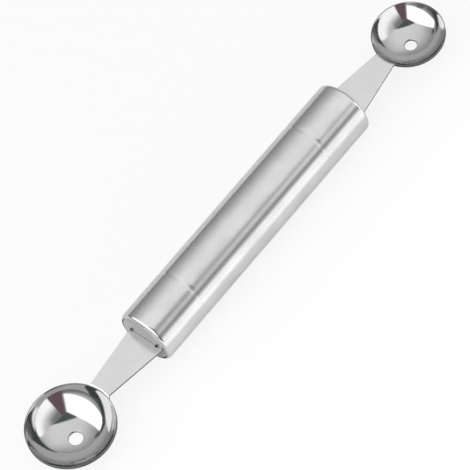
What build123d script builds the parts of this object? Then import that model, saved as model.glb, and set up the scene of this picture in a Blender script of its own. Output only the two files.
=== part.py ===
from build123d import *
from math import atan2, cos, degrees, radians, sin, sqrt
import os

# A double-ended melon baller: two scoops of different size on one round handle.
# Sizes are in millimetres.
# The handle lies along X, with the small bowl at +X, and Z is up.
# The origin is under the middle of the outline, on the surface that the tool lies on.

# Handle tube, rolled in at both ends over the end caps
handle_diameter = 20.0
handle_length = 103.0
tube_wall = 0.6
roll_inner_radius = 0.8
lip_width = 0.9

# Two rings, rolled into the tube, that hold the cores inside it
ring_inset = 19.3
ring_width = 1.5
ring_depth = 0.14

# Sheet that the scoops are stamped from, and the bend from the neck into the bowl
sheet_thickness = 0.9
bend_under_radius = 0.6
bend_reach = 1.0
neck_corner_radius = 1.1

# Large scoop
large_rim_radius = 14.7
large_bowl_depth = 9.72
large_hole_radius = 2.4
large_neck_length = 22.1
large_neck_width = 7.4
large_shoulder_width = 13.5
large_shoulder_shift = 0.7

# Small scoop
small_rim_radius = 12.2
small_bowl_depth = 7.6
small_hole_radius = 2.05
small_neck_length = 20.8
small_neck_width = 7.3
small_shoulder_width = 13.5
small_shoulder_shift = 0.0

# Tang: the flat tail of a scoop, with the hole that the core is moulded through
tang_width = 10.4
tang_length = 16.5
tang_hole_radius = 2.0
tang_hole_inset = 10.0

# Round notches in the corners between shoulder and tang, so that the shoulder seats flat
relief_radius = 0.6

# End caps, pressed from sheet as shallow hats
cap_sheet = 0.8
cap_edge_radius = 0.45

# Cores, moulded round the tangs
core_tail = 3.4
core_edge = 0.8

# Clearances between pieces
cap_clearance = 0.04
core_clearance = 0.04
tang_clearance = 0.03
slot_end_clearance = 0.3
slot_side_clearance = 0.2
seat_clearance = 0.02

# How far a cutting shape runs past what it cuts
overrun = 2.0

handle_radius = handle_diameter / 2
bore_radius = handle_radius - tube_wall
mouth_radius = handle_radius - lip_width
end_roll_radius = roll_inner_radius + tube_wall
bend_radius = bend_under_radius + sheet_thickness
large_reach = large_neck_length + large_rim_radius
small_reach = small_neck_length + small_rim_radius
ring_arc_radius = ((ring_width / 2) ** 2 + ring_depth**2) / (2 * ring_depth)
flange_set_back = end_roll_radius + cap_clearance
core_set_back = flange_set_back + cap_sheet + seat_clearance
core_length = ring_inset + core_tail - core_set_back


def on_circle(centre, radius, angle):
    """The point of a circle at an angle in degrees."""
    return (
        centre[0] + radius * cos(radians(angle)),
        centre[1] + radius * sin(radians(angle)),
    )


def arc(centre, radius, start, end):
    """The arc of a circle from one angle to another."""
    return ThreePointArc(
        on_circle(centre, radius, start),
        on_circle(centre, radius, (start + end) / 2),
        on_circle(centre, radius, end),
    )


class Bowl:
    """The section of a bowl: a round bottom, and an outward bend into the flat sheet."""

    def __init__(self, rim_radius, depth, hole_radius):
        self.rim_radius = rim_radius
        self.hole_radius = hole_radius
        self.flat_start = rim_radius + bend_reach
        whole_radius = (self.flat_start**2 + depth**2) / (2 * depth)
        self.inner_radius = whole_radius - bend_radius
        self.outer_radius = self.inner_radius + sheet_thickness
        self.centre_height = self.inner_radius - depth

    def hole_angle(self, radius):
        """The angle at which a sphere of this radius meets the hole."""
        return degrees(atan2(-sqrt(radius**2 - self.hole_radius**2), self.hole_radius))

    def drop(self):
        """From the flat of the neck down to the lowest edge of the bowl."""
        fall = sqrt(self.outer_radius**2 - self.hole_radius**2)
        return fall - self.centre_height

    def section(self, far):
        """Half of the section, in radius and height, with the flat as long as far."""
        ball = (0, self.centre_height)
        bend = (self.flat_start, -bend_radius)
        lean = degrees(atan2(bend[1] - ball[1], bend[0] - ball[0]))
        inner, outer = self.inner_radius, self.outer_radius
        top = [
            arc(ball, inner, self.hole_angle(inner), lean),
            arc(bend, bend_radius, lean + 180, 90),
            Line((self.flat_start, 0), (far, 0)),
        ]
        end = Line((far, 0), (far, -sheet_thickness))
        under = [
            Line((far, -sheet_thickness), (self.flat_start, -sheet_thickness)),
            arc(bend, bend_under_radius, 90, lean + 180),
            arc(ball, outer, lean, self.hole_angle(outer)),
        ]
        hole = Line(
            on_circle(ball, outer, self.hole_angle(outer)),
            on_circle(ball, inner, self.hole_angle(inner)),
        )
        return make_face(Curve() + [*top, end, *under, hole])


large_bowl = Bowl(large_rim_radius, large_bowl_depth, large_hole_radius)
small_bowl = Bowl(small_rim_radius, small_bowl_depth, small_hole_radius)

# The handle's axis runs in the middle of the scoops' sheet. The tool lies on its handle
# and on the bowl that reaches as low.
deepest = max(large_bowl.drop(), small_bowl.drop()) - sheet_thickness / 2
axis_height = max(handle_radius, deepest)
neck_top = axis_height + sheet_thickness / 2

# Places along X, with the middle of the whole outline at zero
large_overhang = large_reach + large_rim_radius
small_overhang = small_reach + small_rim_radius
handle_start = (large_overhang - small_overhang - handle_length) / 2
handle_end = handle_start + handle_length
large_centre = handle_start - large_reach
small_centre = handle_end + small_reach


def half_strip(start, end, radius):
    """Half of a round bar's section, lying on X, to be turned about X."""
    return Pos(start, 0) * Rectangle(end - start, radius, align=(Align.MIN, Align.MIN))


def rounded_strip(start, end, radius, corner):
    """Half of a round bar's section with both outer corners rounded."""
    strip = half_strip(start, end, radius)
    return fillet(strip.vertices().sort_by(Axis.Y)[-2:], corner)


def ring_shape(place, offset):
    """What a ring takes out of a wall at one place along X, at an offset from the skin."""
    centre_out = handle_radius + ring_arc_radius - ring_depth
    return Pos(place, centre_out) * Circle(ring_arc_radius + offset)


def turned(section):
    """A section drawn in X and radius, turned about the handle's axis."""
    return Pos(0, 0, axis_height) * revolve(section, Axis.X)


def at_large_end(shape):
    """From a drawing with the end face at zero and the handle at +X to its place."""
    return Pos(handle_start, 0, axis_height) * shape


def at_small_end(shape):
    """The same, turned round to face +X."""
    return Pos(handle_end, 0, axis_height) * (Rot(0, 0, 180) * shape)


def make_handle_tube():
    skin = rounded_strip(handle_start, handle_end, handle_radius, end_roll_radius)
    inside = rounded_strip(
        handle_start + tube_wall,
        handle_end - tube_wall,
        bore_radius,
        roll_inner_radius,
    )
    for place in (handle_start + ring_inset, handle_end - ring_inset):
        skin -= ring_shape(place, 0)
        inside -= ring_shape(place, tube_wall)
    mouths = half_strip(handle_start - overrun, handle_end + overrun, mouth_radius)
    return turned(skin - inside - mouths)


def make_end_cap():
    """A hat with its crown in the tube's mouth, its brim behind the rolled edge."""
    crown_radius = mouth_radius - cap_clearance
    brim_radius = bore_radius - cap_clearance
    back = flange_set_back + cap_sheet
    crown = half_strip(0, back, crown_radius)
    crown_corner = crown.vertices().sort_by(Axis.X)[:2].sort_by(Axis.Y)[-1]
    crown = fillet(crown_corner, cap_edge_radius)
    brim = half_strip(flange_set_back, back, brim_radius)
    hollow = half_strip(cap_sheet, back + overrun, crown_radius - cap_sheet)
    hat = revolve(crown + brim - hollow, Axis.X)
    slot = Box(
        cap_sheet + 2 * overrun,
        tang_width + 2 * slot_end_clearance,
        sheet_thickness + 2 * slot_side_clearance,
    )
    return hat - slot


def make_core():
    """A plug in the tube, moulded round the tang and through its hole."""
    start = core_set_back
    end = start + core_length
    plug = half_strip(start, end, bore_radius - core_clearance)
    outer_corners = plug.vertices().sort_by(Axis.Y)[-2:]
    plug = chamfer(outer_corners, core_edge)
    plug -= ring_shape(ring_inset, tube_wall + core_clearance)
    pocket = Pos(start - overrun, 0, 0) * Box(
        tang_length + tang_clearance + overrun - start,
        tang_width + 2 * tang_clearance,
        sheet_thickness + 2 * tang_clearance,
        align=(Align.MIN, Align.CENTER, Align.CENTER),
    )
    peg = Pos(tang_hole_inset, 0, 0) * Cylinder(
        tang_hole_radius - tang_clearance, sheet_thickness + 2 * tang_clearance
    )
    return revolve(plug, Axis.X) - (pocket - peg)


def make_scoop(bowl, reach, neck_width, shoulder_width, shoulder_shift):
    """One stamping, drawn with the bowl's centre at zero and the tang at +X."""
    shoulder = reach - seat_clearance
    root = bowl.rim_radius
    inner_end = root - sheet_thickness - 2 * neck_corner_radius

    def edge(x, side):
        """A point of the neck's straight edge on one side."""
        along = (x - root) / (shoulder - root)
        start = side * neck_width / 2
        end = side * shoulder_width / 2 - shoulder_shift
        return (x, start + (end - start) * along)

    neck = make_face(
        Polyline(
            edge(inner_end, -1),
            edge(shoulder, -1),
            edge(shoulder, 1),
            edge(inner_end, 1),
            close=True,
        )
    )
    outline = Circle(bowl.rim_radius) + neck
    rim_corners = outline.vertices().sort_by(Axis.X)[:2]
    outline = fillet(rim_corners, neck_corner_radius)
    tang_end = reach + tang_length
    outline += Pos(tang_end, 0) * Rectangle(
        tang_length + seat_clearance, tang_width, align=(Align.MAX, Align.CENTER)
    )
    for side in (-1, 1):
        outline -= Pos(shoulder, side * tang_width / 2) * Circle(relief_radius)
    sheet = revolve(Plane.XZ * bowl.section(tang_end + overrun), Axis.Z)
    height = bowl.drop() + 2 * overrun
    cutter = Pos(0, 0, -bowl.drop() - overrun) * extrude(outline, height)
    tang_hole = Pos(reach + tang_hole_inset, 0) * Cylinder(
        tang_hole_radius, sheet_thickness + 2 * overrun
    )
    return (sheet & cutter) - tang_hole


large_scoop = make_scoop(
    large_bowl,
    large_reach,
    large_neck_width,
    large_shoulder_width,
    large_shoulder_shift,
)
small_scoop = make_scoop(
    small_bowl,
    small_reach,
    small_neck_width,
    small_shoulder_width,
    small_shoulder_shift,
)

nodes = {
    "handle_tube": make_handle_tube(),
    "large_end_cap": at_large_end(make_end_cap()),
    "small_end_cap": at_small_end(make_end_cap()),
    "large_core": at_large_end(make_core()),
    "small_core": at_small_end(make_core()),
    "large_scoop": Pos(large_centre, 0, neck_top) * large_scoop,
    "small_scoop": Pos(small_centre, 0, neck_top) * (Rot(0, 0, 180) * small_scoop),
}

os.makedirs("parts", exist_ok=True)
for name, solid in nodes.items():
    solid.label = name
    export_step(solid, f"parts/{name}.step")
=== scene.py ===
import math

import bmesh
import bpy
from mathutils import Matrix, Vector


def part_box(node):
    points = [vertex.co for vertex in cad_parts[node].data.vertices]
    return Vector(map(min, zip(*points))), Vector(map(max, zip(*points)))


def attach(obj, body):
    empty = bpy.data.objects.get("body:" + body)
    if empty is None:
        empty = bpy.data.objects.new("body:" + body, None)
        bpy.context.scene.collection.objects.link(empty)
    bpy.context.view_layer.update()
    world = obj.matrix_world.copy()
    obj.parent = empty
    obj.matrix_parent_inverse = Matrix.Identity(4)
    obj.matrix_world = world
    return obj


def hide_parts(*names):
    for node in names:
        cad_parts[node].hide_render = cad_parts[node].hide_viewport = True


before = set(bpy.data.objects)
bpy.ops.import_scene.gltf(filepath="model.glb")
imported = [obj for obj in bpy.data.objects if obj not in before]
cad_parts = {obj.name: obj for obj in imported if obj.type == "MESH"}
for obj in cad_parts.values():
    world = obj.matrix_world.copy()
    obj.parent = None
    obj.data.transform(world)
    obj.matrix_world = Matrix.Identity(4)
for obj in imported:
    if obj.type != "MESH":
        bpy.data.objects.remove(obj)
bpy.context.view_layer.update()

# Handle tube
# The barrel is one length of thin stainless tube, polished round and round on a wheel.
# Its ends are rolled inwards over the caps and burnished by the rolling.
# Two shallow rings are rolled into it to hold the cores.
tube_low, tube_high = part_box("handle_tube")
axis_height = (tube_low.z + tube_high.z) / 2
tube_radius = (tube_high.z - tube_low.z) / 2
handle_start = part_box("large_end_cap")[0].x
handle_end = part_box("small_end_cap")[1].x
tube_wall = 0.0006
mouth_radius = 0.0091
roll_radius = 0.0014
lip_rounding = 0.00012
ring_inset = 0.0193
ring_width = 0.0017
ring_depth = 0.00014
ring_rounding = 0.0004
turning_steps = 256
rounding_steps = 8
lip_steps = 3
touching = 1e-7
barrel_roughness = 0.2
rolled_end_roughness = 0.1
burnish_start = 1.3 * roll_radius
burnish_full = 0.8 * roll_radius


def lathe(corners, trim_radius=None):
    """A closed section, turned about the handle's axis.

    A corner is a place along X, a radius and a rounding.
    """
    section = bmesh.new()
    placed = [section.verts.new((x, 0, axis_height + radius)) for x, radius, _ in corners]
    section.faces.new(placed)
    for rounding in sorted({corner[2] for corner in corners if corner[2]}, reverse=True):
        bmesh.ops.bevel(
            section,
            geom=[v for v, corner in zip(placed, corners) if corner[2] == rounding],
            offset=rounding,
            offset_type="OFFSET",
            segments=rounding_steps,
            profile=0.5,
            affect="VERTICES",
            material=-1,
        )
    if trim_radius:
        bmesh.ops.bisect_plane(
            section,
            geom=section.verts[:] + section.edges[:] + section.faces[:],
            dist=touching,
            plane_co=(0, 0, axis_height + trim_radius),
            plane_no=(0, 0, 1),
            clear_inner=True,
        )
        lips = [v for v in section.verts if abs(v.co.z - axis_height - trim_radius) < touching]
        bmesh.ops.bevel(
            section,
            geom=lips,
            offset=lip_rounding,
            offset_type="OFFSET",
            segments=lip_steps,
            profile=0.5,
            affect="VERTICES",
            material=-1,
        )
    bmesh.ops.delete(section, geom=section.faces[:], context="FACES_ONLY")
    on_axis = [e for e in section.edges if all(v.co.z - axis_height < touching for v in e.verts)]
    bmesh.ops.delete(section, geom=on_axis, context="EDGES")
    bmesh.ops.spin(
        section,
        geom=section.verts[:] + section.edges[:],
        cent=(0, 0, axis_height),
        axis=(1, 0, 0),
        angle=math.tau,
        steps=turning_steps,
        use_merge=True,
    )
    bmesh.ops.remove_doubles(section, verts=section.verts[:], dist=touching)
    return section


def make_piece(shape, name, node, material, sharp_angle=40):
    """The finished object of one piece: smooth, with its sharp edges kept, in place of its node."""
    bmesh.ops.recalc_face_normals(shape, faces=shape.faces[:])
    data = bpy.data.meshes.new(name)
    shape.to_mesh(data)
    shape.free()
    data.polygons.foreach_set("use_smooth", [True] * len(data.polygons))
    data.set_sharp_from_angle(angle=math.radians(sharp_angle))
    piece = bpy.data.objects.new(name, data)
    bpy.context.scene.collection.objects.link(piece)
    weighted = piece.modifiers.new("even shading", "WEIGHTED_NORMAL")
    weighted.keep_sharp = True
    piece.data.materials.append(material)
    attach(piece, "root")
    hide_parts(node)
    return piece


def feed(tree, socket, value):
    """Sets a socket to a value, or links an output to it."""
    if isinstance(value, bpy.types.NodeSocket):
        tree.links.new(value, socket)
    else:
        socket.default_value = value


def add_node(tree, kind, inputs=None, **settings):
    """One shader node. Each of its inputs takes a value or an output."""
    node = tree.nodes.new(f"ShaderNode{kind}")
    for name, value in settings.items():
        setattr(node, name, value)
    for key, value in (inputs or {}).items():
        feed(tree, node.inputs[key], value)
    return node


def combine(tree, operation, *values):
    """The result of a Math node."""
    return add_node(tree, "Math", dict(enumerate(values)), operation=operation).outputs[0]


def ramp(tree, value, start, end, low=0.0, high=1.0, curve="LINEAR"):
    """Runs from low to high while the value runs from start to end."""
    reach = {"Value": value, "From Min": start, "From Max": end, "To Min": low, "To Max": high}
    return add_node(tree, "MapRange", reach, interpolation_type=curve).outputs["Result"]


# The polish: wide smudges from wiping, and fine lines round the piece from the wheel
smudge_noise = {"Scale": 90, "Detail": 3}
smudge_stretch = (1, 1.6, 1.6)
grain_noise = {"Scale": 900, "Detail": 4}
grain_stretch = (1, 0.05, 0.05)
noise_low = 0.3
noise_high = 0.7
marks_on_roughness = (0.5, 0.5)
marks_on_grey = (-0.35, 0.4)
smudge_relief = 0.5
blue_cast = 1.005
least_roughness = 0.03


def wheel_polish():
    """What wiping and the polishing wheel leave on steel: a tint, a roughness and a height."""
    group = bpy.data.node_groups.new("wheel_polish", "ShaderNodeTree")
    add = group.interface.new_socket
    add("Vector", in_out="INPUT", socket_type="NodeSocketVector")
    for name in ("Steel", "Roughness", "Smudge", "Grain"):
        add(name, in_out="INPUT", socket_type="NodeSocketFloat")
    add("Tint", in_out="OUTPUT", socket_type="NodeSocketColor")
    for name in ("Roughness", "Height"):
        add(name, in_out="OUTPUT", socket_type="NodeSocketFloat")
    taken = group.nodes.new("NodeGroupInput").outputs
    given = group.nodes.new("NodeGroupOutput").inputs

    def noise(kind, stretch):
        place = add_node(group, "Mapping", {"Vector": taken["Vector"], "Scale": stretch})
        texture = add_node(group, "TexNoise", {"Vector": place.outputs["Vector"], **kind})
        return ramp(group, texture.outputs["Fac"], noise_low, noise_high, -1.0, 1.0)

    smudges = noise(smudge_noise, smudge_stretch)
    grain = noise(grain_noise, grain_stretch)
    smear = combine(group, "MULTIPLY", smudges, taken["Smudge"])
    lines = combine(group, "MULTIPLY", grain, taken["Grain"])

    def marked(plain, shares):
        smeared = combine(group, "MULTIPLY_ADD", smear, shares[0], plain)
        return combine(group, "MULTIPLY_ADD", lines, shares[1], smeared)

    roughness = marked(taken["Roughness"], marks_on_roughness)
    grey = marked(taken["Steel"], marks_on_grey)
    blue = combine(group, "MULTIPLY", grey, blue_cast)
    colour = add_node(group, "CombineColor", {"Red": grey, "Green": grey, "Blue": blue})
    height = combine(group, "MULTIPLY_ADD", smudges, smudge_relief, grain)
    feed(group, given["Tint"], colour.outputs["Color"])
    feed(group, given["Roughness"], combine(group, "MAXIMUM", roughness, least_roughness))
    feed(group, given["Height"], height)
    return group


polish = wheel_polish()


def steel(name, grey, roughness, smudge, grain, relief):
    """Stainless steel with its wear. Gives the material, its shader, its wear and its place."""
    material = bpy.data.materials.new(name)
    material.use_nodes = True
    tree = material.node_tree
    shader = tree.nodes["Principled BSDF"]
    place = add_node(tree, "TexCoord").outputs["Object"]
    wear = add_node(
        tree,
        "Group",
        {
            "Vector": place,
            "Steel": grey,
            "Roughness": roughness,
            "Smudge": smudge,
            "Grain": grain,
        },
        node_tree=polish,
    )
    relieved = {"Height": wear.outputs["Height"], "Strength": 1.0, "Distance": relief}
    bump = add_node(tree, "Bump", relieved)
    feed(tree, shader.inputs["Metallic"], 1.0)
    feed(tree, shader.inputs["Base Color"], wear.outputs["Tint"])
    feed(tree, shader.inputs["Roughness"], wear.outputs["Roughness"])
    feed(tree, shader.inputs["Normal"], bump.outputs["Normal"])
    return material, shader, wear, place


tube_steel, tube_shader, tube_wear, tube_place = steel(
    "tube_steel",
    grey=0.67,
    roughness=barrel_roughness,
    smudge=0.1,
    grain=0.03,
    relief=0.0000001,
)
tube_tree = tube_steel.node_tree
from_axis = add_node(
    tube_tree, "VectorMath", {0: tube_place, 1: (0, 0, axis_height)}, operation="SUBTRACT"
)
round_axis = add_node(
    tube_tree,
    "VectorMath",
    {0: (1, 0, 0), 1: from_axis.outputs["Vector"]},
    operation="CROSS_PRODUCT",
)
feed(tube_tree, tube_shader.inputs["Anisotropic"], 1.0)
feed(tube_tree, tube_shader.inputs["Anisotropic Rotation"], 0.25)
feed(tube_tree, tube_shader.inputs["Tangent"], round_axis.outputs["Vector"])
along_tube = add_node(tube_tree, "SeparateXYZ", {0: tube_place}).outputs["X"]
tube_middle = (handle_start + handle_end) / 2
half_length = (handle_end - handle_start) / 2
off_middle = combine(
    tube_tree, "ABSOLUTE", combine(tube_tree, "SUBTRACT", along_tube, tube_middle)
)
burnished = ramp(
    tube_tree,
    off_middle,
    half_length - burnish_start,
    half_length - burnish_full,
    barrel_roughness,
    rolled_end_roughness,
)
feed(tube_tree, tube_wear.inputs["Roughness"], burnished)


def tube_half(end, inward):
    """The corners of one end of the tube's wall, from the lip outside to the bore."""

    def at(inset):
        return end + inward * inset

    bore_radius = tube_radius - tube_wall
    centre_radius = tube_radius - roll_radius
    ring = ring_width / 2
    outside = [
        (at(0), centre_radius, 0),
        (at(0), tube_radius, roll_radius),
        (at(ring_inset - ring), tube_radius, ring_rounding),
        (at(ring_inset), tube_radius - ring_depth, ring_rounding),
        (at(ring_inset + ring), tube_radius, ring_rounding),
    ]
    inside = [
        (at(ring_inset + ring), bore_radius, ring_rounding),
        (at(ring_inset), bore_radius - ring_depth, ring_rounding),
        (at(ring_inset - ring), bore_radius, ring_rounding),
        (at(tube_wall), bore_radius, roll_radius - tube_wall),
        (at(tube_wall), centre_radius, 0),
    ]
    return outside, inside


large_outside, large_inside = tube_half(handle_start, 1)
small_outside, small_inside = tube_half(handle_end, -1)
wall = large_outside + small_outside[::-1] + small_inside[::-1] + large_inside
tube = make_piece(
    lathe(wall, trim_radius=mouth_radius),
    "barrel",
    "handle_tube",
    tube_steel,
)

# End caps
# Each end is closed by a shallow hat pressed from steel sheet.
# Its brim is held behind the tube's rolled lip, and the neck of the scoop comes out
# through the slot punched in its face.
cap_sheet = 0.0008
cap_gap = 0.00004
cap_edge_rounding = 0.0008
slot_half_width = 0.0055
slot_half_height = 0.00065
slot_land_radius = 0.0072
# The caps' steel is darker than the tube's as painted shade, for the shaded table the cap faces
# reflect.
cap_steel = steel(
    "cap_steel", grey=0.48, roughness=0.2, smudge=0.1, grain=0.03, relief=0.0000003
)[0]


def make_cap(end, inward, name, node):
    """The hat, turned, with its slot cut out and the slot's walls closed."""
    crown = mouth_radius - cap_gap
    brim = tube_radius - tube_wall - cap_gap
    brim_front = end + inward * (roll_radius + cap_gap)
    brim_back = brim_front + inward * cap_sheet
    under = end + inward * cap_sheet
    hat = lathe(
        [
            (end, 0, 0),
            (end, slot_land_radius, 0),
            (end, crown, cap_edge_rounding),
            (brim_front, crown, 0),
            (brim_front, brim, 0),
            (brim_back, brim, 0),
            (brim_back, crown - cap_sheet, 0),
            (under, crown - cap_sheet, 0),
            (under, slot_land_radius, 0),
            (under, 0, 0),
        ]
    )
    for across, half in (((0, 1, 0), slot_half_width), ((0, 0, 1), slot_half_height)):
        for side in (-1, 1):
            land = [
                f
                for f in hat.faces
                if math.hypot(f.calc_center_median().y, f.calc_center_median().z - axis_height)
                < slot_land_radius
            ]
            bmesh.ops.bisect_plane(
                hat,
                geom=list({v for f in land for v in f.verts})
                + list({e for f in land for e in f.edges})
                + land,
                dist=touching,
                plane_co=Vector((0, 0, axis_height)) + side * half * Vector(across),
                plane_no=across,
            )
    cut = [
        f
        for f in hat.faces
        if abs(f.calc_center_median().y) < slot_half_width
        and abs(f.calc_center_median().z - axis_height) < slot_half_height
    ]
    bmesh.ops.delete(hat, geom=cut, context="FACES")
    rims = [e for e in hat.edges if e.is_boundary]
    bmesh.ops.bridge_loops(hat, edges=rims)
    return make_piece(hat, name, node, cap_steel)


make_cap(handle_start, 1, "end_cap_large_side", "large_end_cap")
make_cap(handle_end, -1, "end_cap_small_side", "small_end_cap")

# Cores
# A plug of pale plastic is moulded round each tang and holds it in the tube, out of sight.
# Its CAD solid has the right shape, so it only gets its finish.
core_dark = (0.62, 0.6, 0.54, 1)
core_light = (0.72, 0.7, 0.64, 1)
core_roughness = 0.55
core_cloud_scale = 260
core_relief = 0.00001
core_plastic = bpy.data.materials.new("core_plastic")
core_plastic.use_nodes = True
core_tree = core_plastic.node_tree
core_shader = core_tree.nodes["Principled BSDF"]
core_place = add_node(core_tree, "TexCoord").outputs["Object"]
core_cloud = add_node(core_tree, "TexNoise", {"Vector": core_place, "Scale": core_cloud_scale})
core_tone = add_node(core_tree, "ValToRGB", {"Fac": core_cloud.outputs["Fac"]})
core_tone.color_ramp.elements[0].color = core_dark
core_tone.color_ramp.elements[1].color = core_light
core_bump = add_node(
    core_tree, "Bump", {"Height": core_cloud.outputs["Fac"], "Distance": core_relief}
)
feed(core_tree, core_shader.inputs["Roughness"], core_roughness)
feed(core_tree, core_shader.inputs["Base Color"], core_tone.outputs["Color"])
feed(core_tree, core_shader.inputs["Normal"], core_bump.outputs["Normal"])
for node in ("large_core", "small_core"):
    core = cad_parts[node]
    core.data.materials.clear()
    core.data.materials.append(core_plastic)

# Scoops
# Each scoop is one stamping of steel sheet: a drained bowl with a flared rim, a flat neck
# and a tang. The tang goes through the cap's slot into the core, and the neck's shoulder
# seats on the cap.
sheet = 0.0009
neck_top = axis_height + sheet / 2
bend_reach = 0.001
bend_radius = 0.0015
bend_under_radius = bend_radius - sheet
neck_corner = 0.0011
tang_half_width = 0.0052
tang_length = 0.0165
tang_hole_radius = 0.002
tang_hole_inset = 0.01
notch_radius = 0.0006
shoulder_seat = 0.00002
edge_rounding = 0.00011
hole_rounding = 0.00022
round_steps = 256
neck_steps = 26
ring_steps = 30
flare_steps = 3
bend_steps = 9
land_steps = 2
notch_steps = 7
inner_notch_steps = 4
tang_hole_steps = 32
edge_steps = 3
bowl_finish = {"Steel": 0.56, "Roughness": 0.08}
neck_finish = {"Steel": 0.71, "Roughness": 0.2}
# Sheared edges: duller and darker than the sheet's face, plus painted shade for the shaded table
# below.
sheared_and_shade_finish = {"Steel": 0.13, "Roughness": 0.45}
# The rim band's dark steel is painted shade: the shaded table that the rim reflects.
rim_shade_finish = {"Steel": 0.16, "Roughness": 0.4}
rim_shade_band = 0.00026
rim_shade_fade = 0.0001
neck_root_start = 0.95
neck_root_full = 0.965
steep_start = 0.3
steep_full = 0.15


def scoop_steel(name, centre_x, rim, facing):
    """Polished bowl, satin neck; dull dark sheared edges, partly painted shade; a rim band of
    painted shade.
    """
    material, _, wear, place = steel(
        name, grey=0.56, roughness=0.08, smudge=0.05, grain=0.02, relief=0.0000002
    )
    tree = material.node_tree

    def vector(operation, output, *values):
        inputs = dict(enumerate(values))
        return add_node(tree, "VectorMath", inputs, operation=operation).outputs[output]

    from_bowl = vector("SUBTRACT", "Vector", place, (centre_x, 0, neck_top))
    away = vector("LENGTH", "Value", from_bowl)
    across = vector("LENGTH", "Value", vector("MULTIPLY", "Vector", from_bowl, (1, 1, 0)))
    along = vector("DOT_PRODUCT", "Value", from_bowl, (facing, 0, 0))
    on_neck = ramp(tree, away, rim, rim + bend_reach)
    # Where the painted shade lies along the rim, clear of the neck.
    near_rim_shade = ramp(tree, across, rim - rim_shade_band, rim - rim_shade_band + rim_shade_fade)
    off_neck = ramp(tree, along, neck_root_full * rim, neck_root_start * rim)
    on_rim_shade = combine(tree, "MULTIPLY", near_rim_shade, off_neck)
    # Steep faces are the sheared edges; their dark steel is partly painted shade.
    lie = add_node(tree, "NewGeometry").outputs["True Normal"]
    upright = add_node(tree, "SeparateXYZ", {0: lie}).outputs["Z"]
    on_edge_and_shade = ramp(tree, combine(tree, "ABSOLUTE", upright), steep_start, steep_full)
    for quality, value in bowl_finish.items():
        for share, finish in (
            (on_neck, neck_finish),
            (on_rim_shade, rim_shade_finish),
            (on_edge_and_shade, sheared_and_shade_finish),
        ):
            value = add_node(tree, "Mix", {0: share, 2: value, 3: finish[quality]}).outputs[0]
        feed(tree, wear.inputs[quality], value)
    return material


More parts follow.
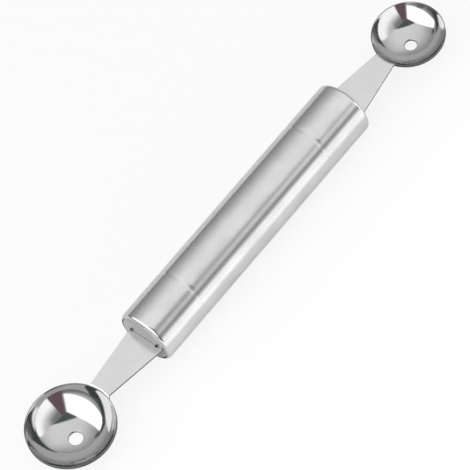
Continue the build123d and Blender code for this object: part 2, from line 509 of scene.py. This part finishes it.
class Scoop:
    """One scoop, drawn with its bowl's centre at zero and its tang at +X, then put in its place."""

    def __init__(self, node, rim, depth, hole, neck_width, shoulder_width, shift, facing):
        low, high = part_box(node)
        self.node = node
        self.rim = rim
        self.hole = hole
        self.facing = facing
        self.flat_start = rim + bend_reach
        self.inner = (self.flat_start**2 + depth**2) / (2 * depth) - bend_radius
        self.outer = self.inner + sheet
        self.centre_up = self.inner - depth
        self.centre_x = low.x + rim if facing > 0 else high.x - rim
        cap_face = handle_start if facing > 0 else handle_end
        self.shoulder = abs(cap_face - self.centre_x) - shoulder_seat
        self.neck = {
            side: (side * neck_width / 2, side * shoulder_width / 2 - shift)
            for side in (-1, 1)
        }

    def side_point(self, side, along):
        """A point on the neck's straight edge."""
        start, end = self.neck[side]
        share = (along - self.rim) / (self.shoulder - self.rim)
        return Vector((along, start + (end - start) * share))

    def corner(self, side):
        """The rounding between rim and neck: its centre, and where it meets the neck's edge."""
        first, last = self.side_point(side, self.rim), self.side_point(side, self.shoulder)
        direction = (last - first).normalized()
        outward = Vector((-direction.y, direction.x)) * side
        base = first + outward * neck_corner
        reach = self.rim + neck_corner
        along = -base.dot(direction) + math.sqrt(
            base.dot(direction) ** 2 - base.length_squared + reach**2
        )
        centre = base + direction * along
        return centre, centre - outward * neck_corner

    def half_angle(self, side, radius):
        """The angle at which the outline crosses a circle round the bowl's centre."""
        centre, foot = self.corner(side)
        if radius < foot.length:
            reach = centre.length
            turn = (radius**2 + reach**2 - neck_corner**2) / (2 * radius * reach)
            return abs(math.atan2(centre.y, centre.x)) - math.acos(min(1.0, turn))
        first = self.side_point(side, self.rim)
        direction = (self.side_point(side, self.shoulder) - first).normalized()
        along = -first.dot(direction) + math.sqrt(
            first.dot(direction) ** 2 - first.length_squared + radius**2
        )
        point = first + direction * along
        return abs(math.atan2(point.y, point.x))

    def height(self, radius, top):
        """How high the sheet's top or underside is at a distance from the bowl's centre."""
        ball = self.inner if top else self.outer
        bend = bend_radius if top else bend_under_radius
        lean = self.flat_start / (self.inner + bend_radius)
        if radius >= self.flat_start:
            return 0 if top else -sheet
        if radius > self.flat_start - bend * lean:
            return math.sqrt(bend**2 - (self.flat_start - radius) ** 2) - bend_radius
        return self.centre_up - math.sqrt(ball**2 - radius**2)

    def outline(self):
        """The flat pattern of the sheet: rings round the hole, then rows along the neck."""
        flat = bmesh.new()
        bmesh.ops.create_circle(flat, segments=round_steps, radius=self.hole)
        step = math.tau / round_steps
        sector = neck_steps / 2 * step
        at_rim = {side: self.half_angle(side, self.rim) for side in (-1, 1)}

        def warp(angle):
            side = 1 if angle >= 0 else -1
            if abs(angle) <= sector:
                return angle * at_rim[side] / sector
            rest = (abs(angle) - sector) / (math.pi - sector)
            return side * (at_rim[side] + rest * (math.pi - at_rim[side]))

        for v in flat.verts:
            angle = warp(math.atan2(v.co.y, v.co.x))
            v.co = (self.hole * math.cos(angle), self.hole * math.sin(angle), 0)
        bend_start = self.flat_start - bend_radius * self.flat_start / (
            self.inner + bend_radius
        )
        rings = [
            self.hole + (bend_start - self.hole) * i / ring_steps
            for i in range(1, ring_steps + 1)
        ]
        rings += [
            bend_start + (self.rim - bend_start) * i / flare_steps
            for i in range(1, flare_steps + 1)
        ]
        edges = flat.edges[:]
        radius = self.hole
        for ring in rings:
            made = bmesh.ops.extrude_edge_only(flat, edges=edges)["geom"]
            moved = [g for g in made if isinstance(g, bmesh.types.BMVert)]
            bmesh.ops.scale(flat, vec=(ring / radius, ring / radius, 1), verts=moved)
            edges = [
                g
                for g in made
                if isinstance(g, bmesh.types.BMEdge) and all(v in moved for v in g.verts)
            ]
            radius = ring
        low_turn = -at_rim[-1] - step / 4
        high_turn = at_rim[1] + step / 4
        row = [
            e
            for e in edges
            if all(low_turn < math.atan2(v.co.y, v.co.x) < high_turn for v in e.verts)
        ]
        centre, foot = self.corner(1)
        first = math.atan2(-centre.y, -centre.x)
        last = math.atan2(foot.y - centre.y, foot.x - centre.x)
        rows = []
        for i in range(1, bend_steps + 1):
            angle = first + (last - first) * i / bend_steps
            on_corner = Vector((math.cos(angle), math.sin(angle)))
            rows.append((centre + neck_corner * on_corner).length)
        foot_far = self.corner(-1)[1].length
        rows.append(max(foot_far, rows[-1]) + edge_rounding)
        rows.append(self.flat_start + edge_rounding)
        rows.sort()
        for ring in rows:
            row, placed = self.next_row(flat, row)
            near, far = self.half_angle(-1, ring), self.half_angle(1, ring)
            for i, v in enumerate(placed):
                angle = -near + (near + far) * i / neck_steps
                v.co = (ring * math.cos(angle), ring * math.sin(angle), 0)
        self.add_tang(flat, row)
        return flat

    def next_row(self, flat, row):
        """Extrudes a row of edges. Gives the new row and its points, in order across."""
        made = bmesh.ops.extrude_edge_only(flat, edges=row)["geom"]
        placed = [g for g in made if isinstance(g, bmesh.types.BMVert)]
        edges = [
            g
            for g in made
            if isinstance(g, bmesh.types.BMEdge) and all(v in placed for v in g.verts)
        ]
        placed.sort(key=lambda v: v.co.y)
        return edges, placed

    def add_tang(self, flat, row):
        """The straight neck to its shoulder, the relief notches, and the tang with its hole."""
        row, placed = self.next_row(flat, row)
        outer_low = self.side_point(-1, self.shoulder).y
        outer_high = self.side_point(1, self.shoulder).y
        land, notch = land_steps, notch_steps
        notch_out = tang_half_width + notch_radius
        notch_in = tang_half_width - notch_radius
        places = [outer_low + (-notch_out - outer_low) * i / land for i in range(land)]
        places += [
            -tang_half_width - notch_radius * math.cos(math.pi * i / notch)
            for i in range(notch)
        ]
        middle = neck_steps - 2 * (land + notch)
        places += [-notch_in + 2 * notch_in * i / middle for i in range(middle)]
        places += [
            tang_half_width - notch_radius * math.cos(math.pi * i / notch) for i in range(notch)
        ]
        places += [notch_out + (outer_high - notch_out) * i / land for i in range(land + 1)]
        for v, across in zip(placed, places):
            inset = max(0, notch_radius**2 - (abs(across) - tang_half_width) ** 2)
            v.co = (self.shoulder - math.sqrt(inset), across, 0)
        inner = placed[land + notch : land + notch + middle + 1]
        row = [e for e in row if all(v in inner for v in e.verts)]
        steps = [
            notch_radius * math.sin(math.pi / 2 * i / inner_notch_steps)
            for i in range(1, inner_notch_steps + 1)
        ]
        hole_x = self.shoulder + shoulder_seat + tang_hole_inset
        stations = [(self.shoulder + s, s) for s in steps]
        stations += [
            (hole_x - 2 * tang_hole_radius, notch_radius),
            (hole_x + 2 * tang_hole_radius, notch_radius),
            (self.shoulder + shoulder_seat + tang_length, notch_radius),
        ]
        for along, past in stations:
            half = tang_half_width - math.sqrt(max(0, notch_radius**2 - past**2))
            row, placed = self.next_row(flat, row)
            for i, v in enumerate(placed):
                v.co = (along, -half + 2 * half * i / middle, 0)
        block = [
            f for f in flat.faces if abs(f.calc_center_median().x - hole_x) < tang_hole_radius
        ]
        frame_edges = {
            e for f in block for e in f.edges if sum(g in block for g in e.link_faces) == 1
        }
        bmesh.ops.delete(flat, geom=block, context="FACES_ONLY")
        loose = [e for e in flat.edges if not e.link_faces and e not in frame_edges]
        bmesh.ops.delete(flat, geom=loose, context="EDGES")
        ring = bmesh.ops.create_circle(
            flat, segments=tang_hole_steps, radius=tang_hole_radius
        )["verts"]
        bmesh.ops.translate(flat, vec=(hole_x, 0, 0), verts=ring)
        ring_edges = list({e for v in ring for e in v.link_edges})
        bmesh.ops.bridge_loops(flat, edges=ring_edges + list(frame_edges))

    def solid(self):
        """The pattern given its thickness, pressed into shape and rounded along its cut edges."""
        flat = self.outline()
        bmesh.ops.recalc_face_normals(flat, faces=flat.faces[:])
        if sum(f.normal.z for f in flat.faces) < 0:
            bmesh.ops.reverse_faces(flat, faces=flat.faces[:])
        made = bmesh.ops.extrude_face_region(flat, geom=flat.faces[:], use_keep_orig=True)["geom"]
        under = {g for g in made if isinstance(g, bmesh.types.BMVert)}
        for v in flat.verts:
            v.co.z = self.height(math.hypot(v.co.x, v.co.y), v not in under)
        bmesh.ops.recalc_face_normals(flat, faces=flat.faces[:])
        cut = [
            e
            for e in flat.edges
            if (e.verts[0] in under) == (e.verts[1] in under)
            and any(
                (v in under) != (e.verts[0] in under) for f in e.link_faces for v in f.verts
            )
        ]
        at_hole = self.hole + shoulder_seat
        hole_rims = [
            e for e in cut if all(math.hypot(v.co.x, v.co.y) < at_hole for v in e.verts)
        ]
        others = [
            e
            for e in cut
            if e not in hole_rims and all(v.co.x < self.shoulder + shoulder_seat for v in e.verts)
        ]
        for picked, offset in ((hole_rims, hole_rounding), (others, edge_rounding)):
            bmesh.ops.bevel(
                flat,
                geom=picked,
                offset=offset,
                offset_type="OFFSET",
                segments=edge_steps,
                profile=0.5,
                affect="EDGES",
                clamp_overlap=False,
                material=-1,
            )
        for v in flat.verts:
            v.co = (
                self.centre_x + self.facing * v.co.x,
                self.facing * v.co.y,
                neck_top + v.co.z,
            )
        return flat


large = Scoop(
    "large_scoop",
    rim=0.0147,
    depth=0.00972,
    hole=0.0024,
    neck_width=0.0074,
    shoulder_width=0.0135,
    shift=0.0007,
    facing=1,
)
small = Scoop(
    "small_scoop",
    rim=0.0122,
    depth=0.0076,
    hole=0.00205,
    neck_width=0.0073,
    shoulder_width=0.0135,
    shift=0,
    facing=-1,
)
for scoop, name in ((large, "scoop_large"), (small, "scoop_small")):
    finish = scoop_steel(f"{name}_steel", scoop.centre_x, scoop.rim, scoop.facing)
    make_piece(scoop.solid(), name, scoop.node, finish, sharp_angle=30)

# Table
# A plain sheet of white paper carries the tool, and the tool's soft shadow lies on it.
# The camera's bright exposure washes it out to white. As for light falling in from the front,
# the front glows with painted light, and behind the handle its colour is darker with painted shade.
table_half = 3.0
washed_out_share = 0.84
washed_in_steel = 0.1
paper_front_tone = (0.82, 0.82, 0.82, 1)
# Painted shade: the paper's colour darkens from the front to behind the handle.
paper_back_painted_shade = (0.68, 0.68, 0.68, 1)
paper_shade_turn = (-0.02, 0.03)
# Painted light: where the front of the paper glows, and how strongly.
paper_painted_light_from = (-0.03, -0.055)
paper_painted_light_level = 0.5
plain_white = (1, 1, 1, 1)


def stage_piece(shape, name, material):
    """A piece of the stage, not of the tool."""
    data = bpy.data.meshes.new(name)
    shape.to_mesh(data)
    shape.free()
    piece = bpy.data.objects.new(name, data)
    bpy.context.scene.collection.objects.link(piece)
    data.materials.append(material)
    return piece


paper = bpy.data.materials.new("table_paper")
paper.use_nodes = True
paper_tree = paper.node_tree
paper_shader = paper_tree.nodes["Principled BSDF"]
paper_place = add_node(paper_tree, "TexCoord").outputs["Object"]
paper_depth = add_node(paper_tree, "SeparateXYZ", {0: paper_place}).outputs["Y"]
# The ramp of painted shade across the paper, from front to back.
paper_shade_ramp = add_node(paper_tree, "ValToRGB", {"Fac": ramp(paper_tree, paper_depth, *paper_shade_turn)})
paper_shade_ramp.color_ramp.elements[0].color = paper_front_tone
paper_shade_ramp.color_ramp.elements[1].color = paper_back_painted_shade
feed(paper_tree, paper_shader.inputs["Base Color"], paper_shade_ramp.outputs["Color"])
feed(paper_tree, paper_shader.inputs["Roughness"], 1.0)
feed(paper_tree, paper_shader.inputs["Specular IOR Level"], 0.0)
paper_path = add_node(paper_tree, "LightPath").outputs
paper_straight = combine(
    paper_tree, "MAXIMUM", paper_path["Is Camera Ray"], paper_path["Is Transmission Ray"]
)
paper_washed = combine(paper_tree, "MULTIPLY", paper_straight, washed_out_share)
paper_shown = combine(
    paper_tree, "MULTIPLY_ADD", paper_path["Is Glossy Ray"], washed_in_steel, paper_washed
)
paper_white = add_node(paper_tree, "Emission", {"Color": plain_white})
paper_mix = add_node(
    paper_tree,
    "MixShader",
    {"Fac": paper_shown, 1: paper_shader.outputs["BSDF"], 2: paper_white.outputs["Emission"]},
)
# A painted glow of light on the front of the paper, added to its shading.
paper_front_painted_light = ramp(paper_tree, paper_depth, *paper_painted_light_from, 0.0, paper_painted_light_level, "SMOOTHSTEP")
paper_painted_glow = add_node(paper_tree, "Emission", {"Color": plain_white, "Strength": paper_front_painted_light})
paper_sum = add_node(paper_tree, "AddShader", {0: paper_mix.outputs[0], 1: paper_painted_glow.outputs[0]})
feed(paper_tree, paper_tree.nodes["Material Output"].inputs["Surface"], paper_sum.outputs[0])
table = bmesh.new()
bmesh.ops.create_grid(table, x_segments=1, y_segments=1, size=table_half)
stage_piece(table, "table", paper)

# Light tent
# A tall tent of white cloth stands round the tool. Only its light and its reflections are
# seen. It is brightest on the large bowl's side, and in front it has a dark gap at the top
# and a dark red cloth. Beyond the tent all is plain white.
tent_radius = 0.6
tent_height = 1.2
tent_sides = 64
tent_rings = 32
tent_floor = 0.0001
tent_shape = bmesh.new()
bmesh.ops.create_uvsphere(tent_shape, u_segments=tent_sides, v_segments=tent_rings, radius=1)
bmesh.ops.scale(
    tent_shape, vec=(tent_radius, tent_radius, tent_height), verts=tent_shape.verts[:]
)
bmesh.ops.bisect_plane(
    tent_shape,
    geom=tent_shape.verts[:] + tent_shape.edges[:] + tent_shape.faces[:],
    dist=touching,
    plane_co=(0, 0, tent_floor),
    plane_no=(0, 0, 1),
    clear_inner=True,
)
tent_cloth = bpy.data.materials.new("tent_cloth")
tent_cloth.use_nodes = True
tent_tree = tent_cloth.node_tree
tent_tree.nodes.remove(tent_tree.nodes["Principled BSDF"])
tent_place = add_node(tent_tree, "TexCoord").outputs["Object"]
tent_sight = add_node(tent_tree, "VectorMath", {0: tent_place}, operation="NORMALIZE").outputs[0]
tent_axes = add_node(tent_tree, "SeparateXYZ", {0: tent_sight}).outputs


def heading(turn, rise):
    """A direction: degrees round from +X, and degrees over the horizon."""
    turn, rise = math.radians(turn), math.radians(rise)
    level = math.cos(rise)
    return Vector((level * math.cos(turn), level * math.sin(turn), math.sin(rise)))


def tent_ramp(value, start, end):
    """From none to all over part of the tent."""
    return ramp(tent_tree, value, start, end, curve="SMOOTHSTEP")


def tent_mix(share, under, over):
    """One cloth over another. Each is a colour or a socket."""
    mix = add_node(tent_tree, "Mix", data_type="RGBA", clamp_factor=True)
    feed(tent_tree, mix.inputs["Factor"], share)
    sockets = [i for i in mix.inputs if i.type == "RGBA"]
    for socket, cloth in zip(sockets, (under, over)):
        feed(tent_tree, socket, (*cloth, 1) if isinstance(cloth, tuple) else cloth)
    return next(o for o in mix.outputs if o.type == "RGBA")


def tent_panel(under, colour, corners, soft):
    """A panel with straight edges between its corners.

    Soft is half the width of each edge, in degrees.
    """
    points = [heading(*corner) for corner in corners]
    middle = sum(points, Vector()).normalized()
    mask = None
    for first, second, blur in zip(points, points[1:] + points[:1], soft):
        across = first.cross(second).normalized()
        if across.dot(middle) < 0:
            across.negate()
        side = add_node(
            tent_tree, "VectorMath", {0: tent_sight, 1: across}, operation="DOT_PRODUCT"
        )
        width = math.sin(math.radians(blur))
        edge = tent_ramp(side.outputs["Value"], -width, width)
        mask = edge if mask is None else combine(tent_tree, "MULTIPLY", mask, edge)
    return tent_mix(mask, under, colour)


def grey(level):
    """A plain grey cloth."""
    return (level, level, level)


# From the horizon up: the sides, the duller back, and a dark gap all round along the table
tent_rise = tent_axes["Z"]
cloth = tent_mix(tent_ramp(tent_rise, 0.0, 0.9), grey(0.6), grey(1.05))
back_cloth = tent_mix(tent_ramp(tent_rise, 0.3, 1.15), grey(0.43), grey(1.12))
cloth = tent_mix(tent_ramp(tent_axes["Y"], 0.05, 0.6), cloth, back_cloth)
cloth = tent_mix(tent_ramp(tent_rise, 0.25, 0.13), cloth, grey(0.27))

# The bright front cloth, the shade at its top, the brightest side and the dark red cloth
front_cloth = tent_mix(tent_ramp(tent_rise, 0.66, 0.36), grey(0.85), grey(1.62))
cloth = tent_panel(
    cloth,
    front_cloth,
    ((228, 51.5), (-50, 49), (-18, 18), (-14, 0), (-130, 0)),
    (1, 2, 4, 8, 6),
)
cloth = tent_panel(
    cloth,
    grey(0.3),
    ((228, 52), (-62, 50), (-68, 42), (238, 34)),
    (1, 10, 9, 3),
)
cloth = tent_panel(
    cloth,
    grey(2.4),
    ((113, 20), (180, 59), (226, 50), (224, 12), (124, 12)),
    (1.5, 1, 4, 2.5, 2),
)
cloth = tent_panel(
    cloth,
    (0.2, 0.135, 0.15),
    ((225, 50), (246, 57), (256, -4), (222, -2)),
    (1.5, 1.5, 6, 5),
)

# The dark gap at the top, and a small dark fold of cloth
cloth = tent_panel(
    cloth,
    (0.12, 0.14, 0.135),
    ((180, 59.5), (228, 51), (-58, 49.2)),
    (1, 3, 1.2),
)
cloth = tent_panel(
    cloth,
    grey(0.12),
    ((100, 27), (112, 24), (110, 18), (100, 18)),
    (2, 2, 2, 2),
)
tent_glow = add_node(tent_tree, "Emission", {"Color": cloth, "Strength": 1.0})
feed(tent_tree, tent_tree.nodes["Material Output"].inputs["Surface"], tent_glow.outputs[0])
tent = stage_piece(tent_shape, "tent", tent_cloth)
tent.visible_camera = False
world = bpy.data.worlds.new("white_room")
bpy.context.scene.world = world
world.use_nodes = True
world_glow = world.node_tree.nodes["Background"]
feed(world.node_tree, world_glow.inputs["Color"], plain_white)
feed(world.node_tree, world_glow.inputs["Strength"], 1.0)

# Card
# A narrow dark card with soft edges hangs close in front of the handle.
# It draws the dark line along the tube. The bowls are too far off to show it.
card_height = 0.0273
card_soft_reach = 0.012
card_dark_share = 0.8
card_seen_from = 0.045
card_black = (0.02, 0.02, 0.02, 1)
card_size = (0.13, 2 * card_soft_reach, 1)
card_place = (0.011, -0.030, card_height)
card = bmesh.new()
bmesh.ops.create_grid(card, x_segments=1, y_segments=1, size=0.5)
bmesh.ops.scale(card, vec=card_size, verts=card.verts[:])
standing = Matrix.Rotation(math.radians(90), 3, "X")
bmesh.ops.rotate(card, cent=(0, 0, 0), matrix=standing, verts=card.verts[:])
bmesh.ops.translate(card, vec=card_place, verts=card.verts[:])
black = bpy.data.materials.new("card_black")
black.use_nodes = True
card_tree = black.node_tree
card_shader = card_tree.nodes["Principled BSDF"]
feed(card_tree, card_shader.inputs["Base Color"], card_black)
card_spot = add_node(card_tree, "TexCoord").outputs["Object"]
card_rise = add_node(card_tree, "SeparateXYZ", {0: card_spot}).outputs["Z"]
card_off = combine(
    card_tree, "ABSOLUTE", combine(card_tree, "SUBTRACT", card_rise, card_height)
)
card_dark = ramp(card_tree, card_off, card_soft_reach, 0, 0.0, card_dark_share, "SMOOTHSTEP")
card_way = add_node(card_tree, "LightPath").outputs["Ray Length"]
card_near = ramp(card_tree, card_way, card_seen_from, 0.9 * card_seen_from)
card_clear = add_node(card_tree, "BsdfTransparent")
card_mix = add_node(
    card_tree,
    "MixShader",
    {
        "Fac": combine(card_tree, "MULTIPLY", card_dark, card_near),
        1: card_clear.outputs["BSDF"],
        2: card_shader.outputs["BSDF"],
    },
)
feed(card_tree, card_tree.nodes["Material Output"].inputs["Surface"], card_mix.outputs[0])
card_piece = stage_piece(card, "card", black)
card_piece.visible_camera = False
card_piece.visible_shadow = False
card_piece.visible_diffuse = False

# Lamp
# A wide soft lamp hangs over the table and lights the paper.
# The steel doesn't show it, because it has the tent to reflect.
lamp_data = bpy.data.lights.new("lamp", "AREA")
lamp_data.shape = "DISK"
lamp_data.size = 0.8
lamp_data.energy = 1.0
lamp = bpy.data.objects.new("lamp", lamp_data)
lamp.location = (0, 0, 0.9)
lamp.visible_glossy = False
bpy.context.scene.collection.objects.link(lamp)

# Camera
# A long lens looks down from high over the large bowl's side.
# Its place was fitted to the outlines of the handle and of both rims.
camera_data = bpy.data.cameras.new("camera")
camera_data.lens = 311.62
camera_data.sensor_width = 36
camera_data.clip_start = 0.05
camera_data.clip_end = 20
camera = bpy.data.objects.new("camera", camera_data)
camera.location = (-0.40176, -0.54586, 1.10938)
camera.rotation_euler = tuple(math.radians(a) for a in (30.4066, 8.9621, -51.0296))
bpy.context.scene.collection.objects.link(camera)
bpy.context.scene.camera = camera
bpy.context.scene.view_settings.view_transform = "Standard"
